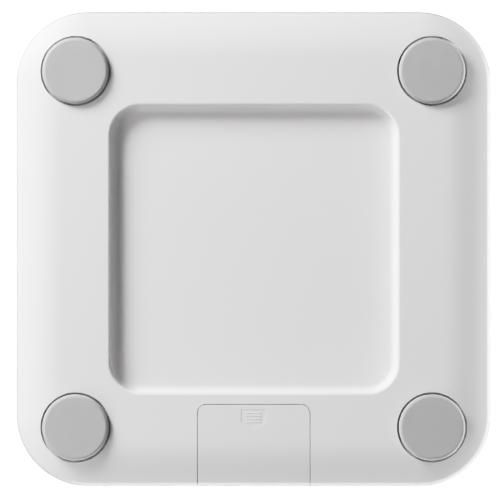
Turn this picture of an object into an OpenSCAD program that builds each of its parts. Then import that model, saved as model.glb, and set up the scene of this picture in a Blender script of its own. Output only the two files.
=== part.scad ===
// Digital bathroom scale: a glass platform bonded to a one-piece plastic housing that stands on four feet,
// each pressing on its own load cell. Millimetres, +Z up, origin on the floor under the middle.
// The battery door is at the -Y edge and the display at the +Y edge.

/* [Platform] */
// Width of the glass platform along X
platform_w = 280; // [230:1:340]
// Depth of the glass platform along Y
platform_d = 280; // [230:1:340]
// Corner radius of the platform in plan
platform_corner_r = 42.5; // [36:0.5:52]
// Thickness of the tempered glass
glass_t = 5; // [4:0.1:8]
// Bevel ground round both edges of the glass
glass_bevel = 1; // [0.4:0.1:1.6]
// Thickness of the printed layer under the glass
backing_t = 0.2; // [0.1:0.05:0.4]
// Thickness of the bonding tape and foam pads under the platform
tape_t = 0.3; // [0.2:0.05:0.8]
// Width of the bonding tape along the rim
tape_w = 6.5; // [4:0.1:7.5]

/* [Display] */
// Width of the display window
window_w = 62; // [50:1:75]
// Depth of the display window
window_d = 20; // [14:1:24]
// Border of the display module round its window
display_border = 4; // [3:0.1:6]
// Distance from the platform's far edge to the middle of the display
display_inset = 28; // [27:0.5:30]
// Thickness of the display module
display_t = 3.1; // [2:0.1:3.5]
// Thickness of the foam gasket between the display and the platform
gasket_t = 1.2; // [0.8:0.1:1.6]
// Height of a digit
digit_h = 15; // [10:0.5:17]

/* [Housing] */
// How far the platform stands proud of the housing all round
rim_inset = 0.6; // [0.3:0.1:1.5]
// Wall thickness of the housing
wall = 2.2; // [1.6:0.1:2.8]
// Width of the curved border of the underside
border_w = 26; // [22:0.5:30]
// Large radius of the curved border
border_r = 47; // [40:0.5:60]
// Small radius where the border turns up into the side
edge_r = 4.5; // [3.5:0.1:6]
// Width of the ledge that the platform is taped to
ledge_w = 8; // [7.5:0.1:9]
// Thickness of that ledge
ledge_t = 2; // [1.5:0.1:3]
// Thickness of the stiffening ribs
rib_t = 1.6; // [1.2:0.1:2.4]
// Distance between neighbouring ribs
rib_pitch = 34; // [30:0.5:38]

/* [Recess under the housing] */
// Width of the web between the door opening and the recess
door_web = 5.15; // [4.5:0.05:10]
// Depth of the recess
recess_depth = 7.75; // [6.5:0.05:9]
// Corner radius of the recess in plan
recess_corner_r = 19.5; // [12:0.5:26]
// Radius of the lip where the wall meets the underside
recess_lip_r = 2; // [1:0.1:2.1]
// Radius where the wall meets the recess floor
recess_floor_r = 4; // [2:0.1:5]

/* [Feet] */
// Distance from the platform's edge to a foot's centre
foot_inset = 35.1; // [34:0.1:38]
// Radius of a foot
foot_r = 19.5; // [15:0.1:20.5]
// Gap between a foot and its hole
foot_gap = 1.15; // [0.8:0.05:1.6]
// How far the feet stand below the housing
foot_proud = 3.5; // [2.8:0.1:4.5]
// Thickness of the rubber foot pad
pad_t = 2.6; // [1.8:0.1:3.2]
// Rounding of the pad's lower edge
pad_edge_r = 2.2; // [0.6:0.1:2.6]
// Radius of the raised disc that centres the pad in its cup
spigot_r = 14; // [8:0.5:15]
// Height of that disc
spigot_h = 0.6; // [0.3:0.1:0.8]
// Height of the plastic foot cup
cup_h = 3.6; // [3:0.1:4.5]
// Wall thickness of the foot cup
cup_wall = 1.6; // [1.2:0.1:2.2]
// Radius of the boss that presses on the load cell
boss_r = 4.6; // [3:0.1:5]
// Travel of a foot at full load
foot_travel = 0.5; // [0.3:0.1:0.8]

/* [Load cells] */
// Side of the square load cell plate
cell_w = 34; // [28:0.5:36]
// Thickness of the load cell plate
cell_t = 1.2; // [1:0.1:2]
// Width of the plate's outer frame
cell_frame_w = 5; // [4:0.1:6]
// Width of the plate's bending tongue
tongue_w = 10; // [9:0.1:12]
// Gap between a foot cup and the load cell's frame, above the foot's travel
cup_clear = 1.3; // [0.8:0.1:2]
// Clearance of the load cell in its pocket, each side
cell_clear = 0.3; // [0.1:0.05:0.5]
// Thickness of the collar round the foot hole
collar_t = 5.3; // [4.5:0.1:6]
// Thickness of the web that the load cell's frame is seated on
seat_t = 1; // [0.7:0.1:1.2]
// Distance from a foot's centre to each bracket screw
ear_r = 31; // [30.5:0.1:32]
// Thread radius of the bracket and board screws
screw_r = 1.3; // [1:0.05:1.6]
// Radius of a screw's head
head_r = 2.6; // [2:0.1:2.8]
// Height of a screw's head
head_h = 1.8; // [1.2:0.1:2.2]

/* [Battery bay] */
// Radius of an AAA cell
battery_r = 5.25; // [4.4:0.05:6.5]
// Length of an AAA cell with its nub
battery_l = 44.5; // [37:0.1:54]
// Clear gap between neighbouring cells and round them
battery_gap = 0.6; // [0.3:0.05:1]
// Gap between the door and the cells
battery_float = 1.3; // [1.2:0.1:3]
// Gap between the cells and the bay's roof
battery_head = 0.2; // [0.1:0.1:1]
// Distance from the bay's outer wall to the housing's edge
bay_to_edge = 12.45; // [11:0.05:16]
// Room for the door's hooks between the bay's end wall and the side of the opening
rail_room = 6.85; // [6.5:0.05:9]
// Length that a contact spring fills
spring_l = 4.1; // [3.2:0.1:4.6]
// Height of the dimple that meets a cell's nub
nub_gap = 0.6; // [0.4:0.1:0.9]
// Thickness of the contact plates
contact_t = 0.4; // [0.3:0.05:0.5]
// Thickness of the bay's walls
bay_wall = 1.5; // [1.2:0.1:1.8]
// Thickness of the bay's roof
bay_roof_t = 1.2; // [1:0.05:2]

/* [Battery door] */
// Corner radius of the door in plan
door_corner_r = 5.3; // [3:0.1:8]
// Thickness of the door
door_t = 1.8; // [1.4:0.1:2]
// Width of the seam round the door
door_seam = 0.35; // [0.3:0.05:0.8]
// Height of the housing's rim that stays above the door
door_rim_h = 3.4; // [3.2:0.1:4]
// Thickness of the foam pad inside the door
door_pad_t = 0.8; // [0.5:0.1:1]
// Depth of the arrow sunk into the door
arrow_depth = 0.2; // [0.1:0.05:0.6]
// Width of the arrow
arrow_w = 15; // [10:0.5:20]

/* [Board and cables] */
// Width of the main board
board_w = 100; // [96:1:104]
// Depth of the main board
board_d = 36; // [34:0.5:37]
// Thickness of the main board
board_t = 1.6; // [1:0.1:1.8]
// Height of the board above the floor of the housing
board_stand = 4.8; // [4.6:0.1:5.2]
// Width of a load cell's three-wire cable
cable_w = 3.6; // [2.4:0.1:4.2]
// Thickness of that cable
cable_t = 1.2; // [0.8:0.1:1.4]
// Radius of a battery lead
lead_r = 0.65; // [0.4:0.05:0.8]

/* [Hidden] */
SIDES = [-1, 1];
// Corners in order: far left, far right, near right, near left
CORNERS = [[-1, 1], [1, 1], [1, -1], [-1, -1]];
CELLS = [0, 1, 2, 3];
BATTERIES = [0, 1, 2];
$fn = 48;
ARC_STEPS = 8;
EPS = 0.01;
CUT = 1;

// Colours
WHITE_ABS = [0.91, 0.90, 0.905];
GREY_RUBBER = [0.72, 0.72, 0.72];
GREY_ABS = [0.6, 0.6, 0.61];
STEEL = [0.75, 0.76, 0.78];
NATURAL_NYLON = [0.86, 0.85, 0.8];

// Heights, from the floor up
z_under = foot_proud;
z_floor = z_under + wall;
housing_h = door_t + battery_float + 2 * battery_r + battery_head + bay_roof_t;
z_rim = z_under + housing_h;
z_backing = z_rim + tape_t;
z_glass = z_backing + backing_t;
z_top = z_glass + glass_t;
z_plateau = z_under + recess_depth + wall;
z_cup_top = pad_t + cup_h;
z_cell = z_cup_top + foot_travel + cup_clear;
z_cell_top = z_cell + cell_t;
collar_over_cell = 0.4;
z_collar = z_cell_top + collar_over_cell;
ear_over_cell = 1.8;
z_ear = z_cell_top + ear_over_cell;
ear_t = 2;
z_board = z_floor + board_stand;
z_board_top = z_board + board_t;
z_display = z_backing - gasket_t - display_t;
z_door_top = z_rim - door_rim_h;
z_bay_roof = z_rim - bay_roof_t;
z_battery = z_bay_roof - battery_head - battery_r;
tab_over_cell = 3;
lead_float = 0.1;
z_lead = z_battery + tab_over_cell;
z_cross = z_plateau + lead_r + lead_float;
z_climb = max(z_lead, z_cross);

// Plan sizes
housing_w = platform_w - 2 * rim_inset;
housing_d = platform_d - 2 * rim_inset;
housing_corner_r = platform_corner_r - rim_inset;

// Battery bay: three cells side by side, measured from the door opening's inner edge
bay_margin = 1;
battery_pitch = 2 * battery_r + battery_gap;
door_l = bay_to_edge + bay_wall + 3 * battery_pitch + bay_margin - door_seam / 2;
bay_y = -housing_d / 2 + door_l + door_seam / 2;
function battery_y(k) = bay_y - bay_margin - battery_r - k * battery_pitch;
bay_outer_y = battery_y(2) - battery_r - battery_gap;
bay_x = battery_l / 2 + (spring_l + nub_gap) / 2 + contact_t;
opening_x = bay_x + bay_wall + rail_room;
door_w = 2 * opening_x - door_seam;
ledge_reach = 2.75;
hook_play = 0.3;
ledge_x = opening_x - ledge_reach;
hook_x = ledge_x - hook_play;
hook_t = 1.5;
hook_l = 20;
ledge_h = 1.2;
z_ledge_top = z_floor + ledge_h;
z_bay_wall = z_under + border_r - sqrt(border_r * border_r - pow(border_w - bay_to_edge, 2)) + door_t + 0.7;
contact_h = 8.4;
single_w = 8.8;
tab_reach = 1.5;
tab_x = bay_x + bay_wall + tab_reach;
lead_x = tab_x + 1.8;
// Half the height and width of the notch that a lead passes through
lead_notch = 1.6;
// Half the distance between the two leads where they run side by side
lead_pair = 1.4;

// The recess starts a web's width in from the door opening, on all four sides
recess_w = platform_w - 2 * (rim_inset + door_l + door_web);
recess_d = platform_d - 2 * (rim_inset + door_l + door_web);
block_out = wall - recess_lip_r;
foot_x = platform_w / 2 - foot_inset;
foot_y = platform_d / 2 - foot_inset;
hole_r = foot_r + foot_gap;
collar_r = hole_r + collar_t;
pocket_w = cell_w + 2 * cell_clear;
bracket_w = cell_w - 0.6;
// The bracket's round top clears the ledge where the rim turns the corner
bracket_r = housing_corner_r - ledge_w - (housing_corner_r - foot_inset + rim_inset) * sqrt(2) - 1.4;
screw_clear = 0.3;
ear_disc_r = 4.5;
post_r = 3.6;
display_y = platform_d / 2 - display_inset;
display_w = window_w + 2 * display_border;
display_d = window_d + 2 * display_border - 2;
board_y = display_y - 2.5;
block_y = recess_d / 2 + block_out;

// Corner number i as a place in plan, and the direction its cable leaves in
function foot_at(i) = [CORNERS[i].x * foot_x, CORNERS[i].y * foot_y, 0];
function exit_turn(i) = [0, 180, 90, 90][i];
function arm_turn(i) = atan2(CORNERS[i].y, CORNERS[i].x) + 90;

// Points on an arc of radius r round centre c, from angle a to angle b
function arc(c, r, a, b, n = ARC_STEPS) =
  [for (k = [0:n]) let (t = a + (b - a) * k / n) [c.x + r * cos(t), c.y + r * sin(t)]];

// Section of the housing's outer form, moved inwards by t. It runs out from a corner's centre along the
// flat underside, up the large border arc, round the small one, and up the side to height top.
function border_profile(t, top) =
  let (
    r0 = housing_corner_r,
    flat = r0 - border_w,
    z0 = z_under,
    turn = asin((border_w - edge_r) / (border_r - edge_r)),
    big = [flat, z0 + border_r],
    small = [r0 - edge_r, z0 + border_r - (border_r - edge_r) * cos(turn)]
  )
  concat(
    [[0, z0 + t]],
    arc(big, border_r - t, -90, -90 + turn),
    arc(small, edge_r - t, -90 + turn, 0),
    [[r0 - t, top], [0, top]]
  );

// Section of the recess: floor, floor fillet, wall and lip, cut on downwards below the underside
function recess_profile() =
  let (
    r0 = recess_corner_r,
    z1 = z_under + recess_depth,
    wall_u = r0 - recess_lip_r
  )
  concat(
    [[0, z1]],
    arc([wall_u - recess_floor_r, z1 - recess_floor_r], recess_floor_r, 90, 0),
    arc([r0, z_under + recess_lip_r], recess_lip_r, 180, 270),
    [[r0, z_under - CUT], [0, z_under - CUT]]
  );

// A profile moved out by a, and its mirror image, as one closed outline
function both_sides(profile, a) = concat(
  [for (p = profile) [p.x + a, p.y]],
  [for (k = [len(profile) - 1:-1:0]) [-profile[k].x - a, profile[k].y]]
);

// Carries a profile of (distance out from the corner's centre, height) round a rectangle w by d
// with corners of radius r: a quarter turn at each corner and two straight runs that cross.
module swept(w, d, r, profile) {
  a = w / 2 - r;
  b = d / 2 - r;
  for (k = [0:3])
    translate([[a, -a, -a, a][k], [b, b, -b, -b][k], 0])
      rotate(90 * k)
        rotate_extrude(angle = 90)
          polygon(profile);
  rotate([90, 0, 0])
    linear_extrude(2 * b, center = true)
      polygon(both_sides(profile, a));
  rotate([90, 0, 90])
    linear_extrude(2 * a, center = true)
      polygon(both_sides(profile, b));
}

// Flat slab with round corners between two heights
module slab(w, d, r, z0, z1) {
  swept(w, d, r, [[0, z0], [r, z0], [r, z1], [0, z1]]);
}

// Rectangular block between two corners
module block(low, high) {
  translate(low)
    cube(high - low);
}

// Cylinder between two heights
module post(r, z0, z1) {
  translate([0, 0, z0])
    cylinder(r = r, h = z1 - z0);
}

module at_feet() {
  for (i = CELLS)
    translate(foot_at(i))
      children();
}

// Both screw places of bracket i
module at_ears(i) {
  for (s = SIDES)
    translate(foot_at(i))
      rotate(arm_turn(i))
        translate([s * ear_r, 0, 0])
          children();
}

// The board's four screw places
module at_board_corners() {
  for (s = CORNERS)
    translate([s.x * (board_w / 2 - 3.5), board_y + s.y * (board_d / 2 - 3.5), 0])
      children();
}

// A screw with a pan head on a surface at height z and its thread reaching down by l
module pan_screw(z, l) {
  difference() {
    union() {
      post(screw_r, z - l, z);
      post(head_r, z, z + head_h);
    }
    for (a = [0, 90])
      rotate(a)
        block([-head_r * 0.55, -0.3, z + head_h - 0.9], [head_r * 0.55, 0.3, z + head_h + CUT]);
  }
}

// ---- Sweeps along a route ----

function unit(v) = v / norm(v);

// A smooth curve through the middles of the route's legs, with the route's own ends
function smooth(p, k = 4) =
  let (n = len(p) - 1)
  concat(
    [for (i = [1:n - 1], j = [0:k - 1])
      let (
        a = i == 1 ? p[0] : (p[i - 1] + p[i]) / 2,
        c = i == n - 1 ? p[n] : (p[i] + p[i + 1]) / 2,
        t = j / k
      )
      a * (1 - t) * (1 - t) + p[i] * 2 * t * (1 - t) + c * t * t],
    [p[n]]
  );

// Sweeps a closed section along the points c. Its second direction stays as near to up as it can.
module sweep(c, section, up = [0, 0, 1]) {
  n = len(c) - 1;
  m = len(section);
  rings = [for (i = [0:n])
    let (
      t = unit(c[min(i + 1, n)] - c[max(i - 1, 0)]),
      side = unit(cross(t, up)),
      rise = cross(side, t)
    )
    for (s = section) c[i] + side * s.x + rise * s.y];
  walls = [for (i = [0:n - 1], j = [0:m - 1], half = [0, 1])
    let (a = i * m + j, b = i * m + (j + 1) % m)
    half == 0 ? [a, b, b + m] : [a, b + m, a + m]];
  polyhedron(
    points = rings,
    faces = concat([[for (j = [m - 1:-1:0]) j]], walls, [[for (j = [0:m - 1]) n * m + j]])
  );
}

function round_section(r, sides) = [
  for (k = [0:sides - 1]) [r * cos(-360 * k / sides), r * sin(-360 * k / sides)]
];
// Flat section with round edges
function ribbon_section(w, t) =
  let (c = (w - t) / 2, h = t / 2)
  concat(arc([-c, 0], h, 270, 90, 3), arc([c, 0], h, 90, -90, 3));

// ---- Housing ----

module outer_form() {
  swept(housing_w, housing_d, housing_corner_r, border_profile(0, z_rim));
}

module inner_form(t, top) {
  swept(housing_w, housing_d, housing_corner_r, border_profile(t, top));
}

// The door's outline as a block that reaches out past the housing's edge
module door_prism(grow, top) {
  reach = door_l + 4 * door_corner_r;
  translate([0, bay_y - door_seam / 2 + grow - reach / 2, 0])
    slab(door_w + 2 * grow, reach, door_corner_r + grow, z_under - CUT, top);
}

module battery_bay() {
  y_in = bay_y + bay_wall;
  y_out = -housing_d / 2;
  side_x = opening_x + bay_wall;
  // Roof
  block([-side_x, y_out, z_bay_roof], [side_x, y_in, z_rim]);
  // Inner wall, with a notch for each lead
  difference() {
    block([-side_x, bay_y, z_under], [side_x, y_in, z_rim]);
    for (s = SIDES)
      block(
        [s * lead_x - lead_notch, bay_y - CUT, z_lead - lead_notch],
        [s * lead_x + lead_notch, y_in + CUT, z_climb + lead_notch]
      );
  }
  // Outer wall beyond the third cell
  block([-bay_x - bay_wall, bay_outer_y - bay_wall, z_bay_wall], [bay_x + bay_wall, bay_outer_y, z_rim]);
  for (s = SIDES) {
    // Side wall beside the opening
    block([min(s * opening_x, s * side_x), y_out, z_under], [max(s * opening_x, s * side_x), y_in, z_rim]);
    // Ledge that the door's hooks run on
    block(
      [min(s * ledge_x, s * opening_x), bay_y - hook_l - 3, z_under],
      [max(s * ledge_x, s * opening_x), bay_y, z_ledge_top]
    );
    // End wall behind the contacts, with the slot for a solder tab
    difference() {
      block(
        [min(s * bay_x, s * (bay_x + bay_wall)), bay_outer_y, z_bay_wall],
        [max(s * bay_x, s * (bay_x + bay_wall)), bay_y, z_rim]
      );
      block(
        [-bay_x - bay_wall - CUT, battery_y(s < 0 ? 0 : 2) - 1.7, z_lead - 0.4],
        [bay_x + bay_wall + CUT, battery_y(s < 0 ? 0 : 2) + 1.7, z_lead + 0.4]
      );
    }
  }
}

// Least distance from a rib to the recess wall beside it, and from a rib's end to that wall
rib_margin = 30;
rib_short = 16;

// Distances of the ribs from the middle, across a recess of size d
function rib_places(d) = [for (k = [0.5:1:9]) if (k * rib_pitch < d / 2 - rib_margin) k * rib_pitch];

// Ribs on the back of the recess, open in the middle for the battery leads
module plateau_ribs() {
  reach_x = recess_w / 2 - rib_short;
  reach_y = recess_d / 2 - rib_short;
  for (s = SIDES) {
    for (x = rib_places(recess_w))
      block([s * x - rib_t / 2, -reach_y, z_plateau - CUT], [s * x + rib_t / 2, reach_y, z_rim]);
    for (y = rib_places(recess_d))
      difference() {
        block([-reach_x, s * y - rib_t / 2, z_plateau - CUT], [reach_x, s * y + rib_t / 2, z_rim]);
        block([-5, s * y - rib_t, z_plateau], [5, s * y + rib_t, z_rim - 1.2]);
      }
  }
}

// Ribs that tie the recess wall to the sides, open at the bottom for the cables
module border_ribs() {
  for (s = SIDES, t = SIDES, y = rib_places(recess_d))
    difference() {
      block(
        [min(s * (recess_w / 2), s * housing_w / 2), t * y - rib_t / 2, z_under],
        [max(s * (recess_w / 2), s * housing_w / 2), t * y + rib_t / 2, z_rim - ledge_t]
      );
      block([s * cable_x - 5, t * y - rib_t, z_floor], [s * cable_x + 5, t * y + rib_t, z_floor + 4]);
    }
  for (s = SIDES)
    translate([s * 1.7 * rib_pitch, 0, 0])
      block([-rib_t / 2, -housing_d / 2, z_under], [rib_t / 2, -recess_d / 2, z_rim - ledge_t]);
}

// Everything that stands inside the shell
module housing_inside() {
  difference() {
    slab(housing_w, housing_d, housing_corner_r, z_rim - ledge_t, z_rim);
    slab(
      housing_w - 2 * ledge_w, housing_d - 2 * ledge_w, housing_corner_r - ledge_w,
      z_rim - ledge_t - CUT, z_rim + CUT
    );
  }
  slab(
    recess_w + 2 * block_out, recess_d + 2 * block_out, recess_corner_r + block_out,
    z_under, z_plateau
  );
  at_feet()
    post(collar_r, z_under, z_collar);
  for (i = CELLS)
    at_ears(i)
      post(post_r, z_under, z_ear);
  at_board_corners()
    post(post_r - 0.6, z_under, z_board);
  battery_bay();
  plateau_ribs();
  border_ribs();
}

module bottom_housing() {
  color(WHITE_ABS)
    difference() {
      outer_form();
      difference() {
        inner_form(wall, z_rim + CUT);
        housing_inside();
      }
      swept(recess_w, recess_d, recess_corner_r, recess_profile());
      at_feet() {
        post(hole_r, z_under - CUT, z_cell - seat_t);
        post(cell_w / 2 - cell_frame_w + 1.5, z_cell - seat_t - CUT, z_cell + CUT);
        slab(pocket_w, pocket_w, 3, z_cell, z_collar + CUT);
      }
      for (i = CELLS)
        at_ears(i)
          post(screw_r, z_ear - 5, z_ear + CUT);
      at_board_corners()
        post(screw_r, z_board - 3.5, z_board + CUT);
      difference() {
        door_prism(door_seam / 2, z_door_top + door_seam / 2);
        inner_form(wall, z_rim + CUT);
      }
    }
}

// ---- Platform ----

module glass_platform() {
  r = platform_corner_r;
  color([0.85, 0.93, 0.92])
    swept(platform_w, platform_d, r, [
      [0, z_glass], [r - glass_bevel, z_glass], [r, z_glass + glass_bevel],
      [r, z_top - glass_bevel], [r - glass_bevel, z_top], [0, z_top]
    ]);
}

module glass_backing() {
  inset = rim_inset + glass_bevel;
  color("white")
    difference() {
      slab(platform_w - 2 * inset, platform_d - 2 * inset, platform_corner_r - inset, z_backing, z_glass);
      translate([0, display_y, 0])
        slab(window_w, window_d, 2, z_backing - CUT, z_glass + CUT);
    }
}

module rim_tape() {
  out = rim_inset + glass_bevel;
  in = out + tape_w - 1;
  color([0.85, 0.85, 0.84])
    difference() {
      slab(platform_w - 2 * out, platform_d - 2 * out, platform_corner_r - out, z_rim, z_backing);
      slab(platform_w - 2 * in, platform_d - 2 * in, platform_corner_r - in, z_rim - CUT, z_backing + CUT);
    }
}

module bracket_pads() {
  color([0.85, 0.85, 0.84])
    at_feet()
      post(bracket_r - 2, z_rim, z_backing);
}

module rib_pads() {
  color([0.85, 0.85, 0.84])
    for (s = CORNERS)
      translate([s.x * max(rib_places(recess_w)), s.y * max(rib_places(recess_d)), 0])
        slab(14, 14, 2, z_rim, z_backing);
}

// ---- Feet and load cells ----

module foot_pad(i) {
  e = pad_edge_r;
  color(GREY_RUBBER)
    translate(foot_at(i))
      rotate_extrude($fn = 96)
        polygon(concat(
          [[0, 0]],
          arc([foot_r - e, e], e, -90, 0, 6),
          [[foot_r, pad_t], [spigot_r, pad_t], [spigot_r, pad_t + spigot_h], [0, pad_t + spigot_h]]
        ));
}

module foot_cup(i) {
  z_plate = pad_t + spigot_h + cup_wall;
  seat_r = spigot_r + 0.2;
  color(GREY_ABS)
    translate(foot_at(i)) {
      rotate_extrude($fn = 96)
        polygon([
          [0, pad_t + spigot_h], [seat_r, pad_t + spigot_h], [seat_r, pad_t], [foot_r, pad_t],
          [foot_r, z_cup_top], [foot_r - cup_wall, z_cup_top], [foot_r - cup_wall, z_plate],
          [boss_r, z_plate], [boss_r, z_cell], [0, z_cell]
        ]);
      for (a = [0:60:300])
        rotate(a)
          block([boss_r - 0.5, -0.6, z_plate - EPS], [foot_r - cup_wall / 2, 0.6, z_cup_top]);
    }
}

// Stamped plate: an outer frame and a tongue that bends, joined on the cable's side
module load_cell(i) {
  hole_w = cell_w - 2 * cell_frame_w;
  color(STEEL)
    translate(foot_at(i))
      rotate(exit_turn(i))
        difference() {
          slab(cell_w, cell_w, 2.5, z_cell, z_cell_top);
          difference() {
            slab(hole_w, hole_w, 1.5, z_cell - CUT, z_cell_top + CUT);
            block(
              [-hole_w / 2 + 3, -tongue_w / 2, z_cell - 2 * CUT],
              [hole_w, tongue_w / 2, z_cell_top + 2 * CUT]
            );
          }
        }
}

gauge_h = 2;
gauge_x = 1;
gauge_l = 9;

module strain_gauges() {
  color("white")
    for (i = CELLS)
      translate(foot_at(i))
        rotate(exit_turn(i))
          translate([gauge_x + gauge_l / 2, 0, 0])
            slab(gauge_l, tongue_w - 2, 2, z_cell_top, z_cell_top + gauge_h);
}

// Carries the platform on the load cell's frame: a square skirt, a round top and two screwed ears
module cell_bracket(i) {
  skirt_in = bracket_w - 2 * (cell_frame_w - 1.2);
  exit_w = cable_w + 1.2;
  color(NATURAL_NYLON)
    translate(foot_at(i))
      difference() {
        union() {
          slab(bracket_w, bracket_w, 2.2, z_cell_top, z_rim);
          post(bracket_r, z_rim - 2, z_rim);
          rotate(arm_turn(i)) {
            block([-ear_r, -ear_disc_r, z_ear], [ear_r, ear_disc_r, z_ear + ear_t]);
            for (s = SIDES)
              translate([s * ear_r, 0, 0])
                post(ear_disc_r, z_ear, z_ear + ear_t);
          }
        }
        slab(skirt_in, skirt_in, 1, z_cell_top - CUT, z_rim - 2);
        rotate(exit_turn(i))
          block([0, -exit_w / 2, z_cell_top - CUT], [bracket_w, exit_w / 2, z_cell_top + gauge_h + 1]);
        rotate(arm_turn(i))
          for (s = SIDES)
            translate([s * ear_r, 0, 0])
              post(screw_r + screw_clear, z_ear - CUT, z_ear + ear_t + CUT);
      }
}

module bracket_screws() {
  color(STEEL)
    for (i = CELLS)
      at_ears(i)
        pan_screw(z_ear + ear_t, 6);
}

// ---- Battery bay ----

// An AAA cell along X. Cells 1 and 3 have their nub at +X, and cell 2 at -X.
function nub_side(k) = k == 1 ? -1 : 1;
function battery_x(k) = nub_side(k) * (bay_x - contact_t - nub_gap - battery_l / 2);

module battery(k) {
  nub_l = 0.9;
  can = battery_l - nub_l;
  color([0.25, 0.45, 0.35])
    translate([battery_x(k), battery_y(k), z_battery])
      rotate([0, 90 * nub_side(k), 0])
        translate([0, 0, -battery_l / 2])
          rotate_extrude()
            polygon([
              [0, 0], [battery_r - 0.8, 0], [battery_r, 0.8], [battery_r, can - 0.8],
              [battery_r - 0.8, can], [1.9, can], [1.9, can + nub_l], [0, can + nub_l]
            ]);
}

// Contact plate on side s behind cells a to b
module contact_plate(s, a, b) {
  y0 = battery_y(b) - single_w / 2;
  y1 = battery_y(a) + single_w / 2;
  z0 = z_battery - contact_h / 2;
  block(
    [min(s * bay_x, s * (bay_x - contact_t)), y0, z0],
    [max(s * bay_x, s * (bay_x - contact_t)), y1, z0 + contact_h]
  );
}

// Dimple that meets the nub of cell k
module nub_dimple(k) {
  translate([nub_side(k) * (bay_x - contact_t + EPS), battery_y(k), z_battery])
    rotate([0, -90 * nub_side(k), 0])
      cylinder(r1 = 2.4, r2 = 1.2, h = nub_gap + EPS);
}

// Solder tab that reaches out through the end wall
module solder_tab(s, k) {
  block(
    [min(s * (bay_x - EPS), s * tab_x), battery_y(k) - 1.5, z_lead - 0.2],
    [max(s * (bay_x - EPS), s * tab_x), battery_y(k) + 1.5, z_lead + 0.2]
  );
}

module contact_plates() {
  color(STEEL) {
    union() {
      contact_plate(-1, 0, 0);
      solder_tab(-1, 0);
    }
    union() {
      contact_plate(-1, 1, 2);
      nub_dimple(1);
    }
    union() {
      contact_plate(1, 0, 1);
      nub_dimple(0);
    }
    union() {
      contact_plate(1, 2, 2);
      nub_dimple(2);
      solder_tab(1, 2);
    }
  }
}

// Conical coil from the contact plate to the flat end of each cell
module contact_springs() {
  turns = 4;
  steps = 10;
  wire_r = 0.25;
  color(STEEL)
    for (k = BATTERIES) {
      s = -nub_side(k);
      x0 = bay_x - contact_t - wire_r;
      x1 = x0 - spring_l + 2 * wire_r;
      sweep(
        [for (j = [0:turns * steps])
          let (f = j / (turns * steps), r = 3.6 - 1.6 * f, a = 360 * j / steps)
          [s * (x0 + (x1 - x0) * f), battery_y(k) + r * cos(a), z_battery + r * sin(a)]],
        round_section(wire_r, 6),
        [1, 0, 0]
      );
    }
}

// ---- Battery door ----

// Pentagon pointing the way the door slides
module arrow_outline() {
  h = arrow_w * 0.8;
  polygon([
    [-arrow_w / 2, 0], [arrow_w / 2, 0], [arrow_w / 2, -h * 0.6], [0, -h], [-arrow_w / 2, -h * 0.6]
  ]);
}

module battery_door() {
  y_edge = bay_y - door_seam;
  rib_step = 1.8;
  color(WHITE_ABS)
    difference() {
      union() {
        difference() {
          intersection() {
            outer_form();
            door_prism(-door_seam / 2, z_door_top);
          }
          inner_form(door_t, z_rim + CUT);
        }
        for (s = SIDES) {
          // Hook: a web up from the door and a lip over the ledge
          block(
            [min(s * (hook_x - hook_t), s * hook_x), y_edge - 2 - hook_l, z_under + door_t - 0.5],
            [max(s * (hook_x - hook_t), s * hook_x), y_edge - 2, z_ledge_top + 1]
          );
          block(
            [min(s * (hook_x - hook_t), s * (hook_x + 2)), y_edge - 2 - hook_l, z_ledge_top + 0.2],
            [max(s * (hook_x - hook_t), s * (hook_x + 2)), y_edge - 2, z_ledge_top + 1]
          );
        }
      }
      // Arrow, with grip ribs left standing in it
      translate([0, y_edge - 3, z_under - CUT])
        difference() {
          linear_extrude(CUT + arrow_depth)
            arrow_outline();
          for (k = [1:4])
            block([-arrow_w * 0.3, -rib_step * k - 0.4, 0], [arrow_w * 0.3, -rib_step * k + 0.4, 2 * CUT]);
        }
    }
}

module door_pad() {
  y0 = bay_y - door_seam - 4;
  y1 = -housing_d / 2 + border_w + 0.5;
  color([0.85, 0.85, 0.84])
    block([-20, y1, z_under + door_t], [20, y0, z_under + door_t + door_pad_t]);
}

// ---- Display and board ----

module main_board() {
  color([0.1, 0.4, 0.2])
    difference() {
      translate([0, board_y, 0])
        slab(board_w, board_d, 2, z_board, z_board_top);
      at_board_corners()
        post(screw_r + screw_clear, z_board - CUT, z_board_top + CUT);
    }
}

module board_screws() {
  color(STEEL)
    at_board_corners()
      pan_screw(z_board_top, board_t + 3);
}

module board_chips() {
  color([0.12, 0.12, 0.13])
    translate([0, board_y, 0]) {
      post(5, z_board_top, z_board_top + 1.6);
      translate([16, 3, 0])
        slab(7, 5, 0.4, z_board_top, z_board_top + 1.5);
      translate([-17, 4, 0])
        slab(11, 4.6, 2.2, z_board_top, z_board_top + 1.8);
      for (k = [-3:3])
        translate([k * 4, -10, 0])
          block([-0.8, -0.5, z_board_top], [0.8, 0.5, z_board_top + 0.6]);
    }
}

socket_w = 8.4;
socket_l = 6;
socket_h = 4.8;
// Two sockets at each end of the board for the load cells, nearer the far edge for the far cells
function socket_y(i) = board_y + (CORNERS[i].y > 0 ? 6.5 : -6.5);
lead_socket_w = 6;
lead_socket_y = board_y - board_d / 2;

module board_sockets() {
  color([0.93, 0.92, 0.88]) {
    for (i = CELLS)
      translate([CORNERS[i].x * (board_w / 2 - socket_l / 2), socket_y(i), 0])
        block(
          [-socket_l / 2, -socket_w / 2, z_board_top],
          [socket_l / 2, socket_w / 2, z_board_top + socket_h]
        );
    block(
      [-lead_socket_w / 2, lead_socket_y, z_board_top],
      [lead_socket_w / 2, lead_socket_y + socket_l - 1, z_board_top + socket_h]
    );
  }
}

plug_l = 5;
z_plug = z_board_top + socket_h / 2;

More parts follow.
